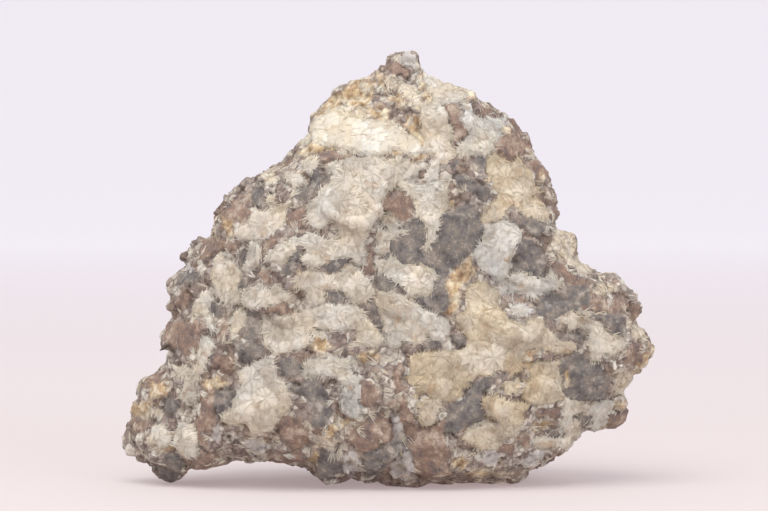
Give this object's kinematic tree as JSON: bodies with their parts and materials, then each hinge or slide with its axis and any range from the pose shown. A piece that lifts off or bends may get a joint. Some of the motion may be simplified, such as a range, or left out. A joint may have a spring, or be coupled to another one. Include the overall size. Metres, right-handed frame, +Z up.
{
  "type": "wavellite mineral specimen",
  "caption": "Hand specimen: radiating sprays of white crystal needles intergrown in crusts over an angular brown and grey breccia lump.",
  "frame": {"origin": "on the ground under the middle of the overall box, where the lump rests on its flat spot", "axes": "+Z up, +X along the length to the right as seen in the picture, -Y towards the viewer, out of the best face"},
  "size_m": [0.0798, 0.0448, 0.0646],
  "materials": {
    "matrix": "dull, broken, brown to slate grey",
    "wavellite": "silky, fibrous, white to cream"
  },
  "bodies": {
    "root": {"matrix_rock": "matrix", "wavellite_apron": "wavellite", "wavellite_back_left": "wavellite", "wavellite_back_low": "wavellite", "wavellite_back_middle": "wavellite", "wavellite_back_right": "wavellite", "wavellite_back_top": "wavellite", "wavellite_band": "wavellite", "wavellite_brow": "wavellite", "wavellite_column": "wavellite", "wavellite_crown": "wavellite", "wavellite_fan": "wavellite", "wavellite_feather": "wavellite", "wavellite_field": "wavellite", "wavellite_fringe": "wavellite", "wavellite_heart": "wavellite", "wavellite_hollow": "wavellite", "wavellite_left_band": "wavellite", "wavellite_left_foot": "wavellite", "wavellite_left_knee": "wavellite", "wavellite_left_star": "wavellite", "wavellite_lower_right": "wavellite", "wavellite_pale": "wavellite", "wavellite_pillar": "wavellite", "wavellite_right_foot": "wavellite", "wavellite_shelf": "wavellite", "wavellite_shoulder": "wavellite", "wavellite_slope": "wavellite", "wavellite_star": "wavellite", "wavellite_temple": "wavellite", "wavellite_wedge": "wavellite"}
  },
  "joints": []
}
